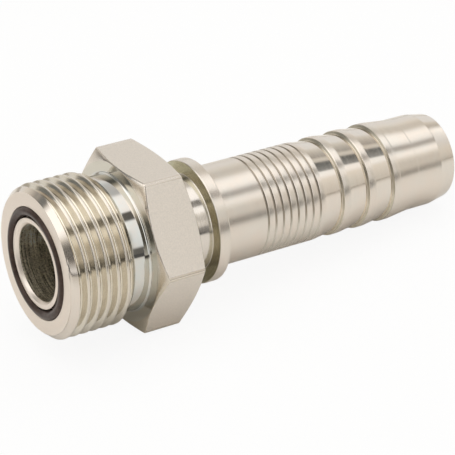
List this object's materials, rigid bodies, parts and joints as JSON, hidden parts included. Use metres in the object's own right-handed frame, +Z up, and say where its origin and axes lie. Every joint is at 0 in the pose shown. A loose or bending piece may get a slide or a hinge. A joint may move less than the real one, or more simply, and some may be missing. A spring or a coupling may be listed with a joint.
{
  "type": "hydraulic hose fitting",
  "caption": "Crimp hose insert with a male face-seal thread, a sealing ring in its front groove, a wrench hexagon, a retaining collar and a barbed hose tail.",
  "frame": {"origin": "middle of the footprint of the fitting as it lies at rest, on the surface that it lies on", "axes": "+X runs with the fitting from its sealing face to its hose tail, seen from above; +Z is up; the fitting's own axis falls by 6.01 degrees towards the tail"},
  "size_m": [0.0942, 0.037, 0.0335],
  "materials": {
    "plated_steel": "bright zinc plated steel, turned, satin on the hexagon's flats",
    "seal_rubber": "satin black nitrile rubber"
  },
  "bodies": {
    "root": {"fitting_body": "plated_steel", "face_seal_ring": "seal_rubber"}
  },
  "joints": []
}
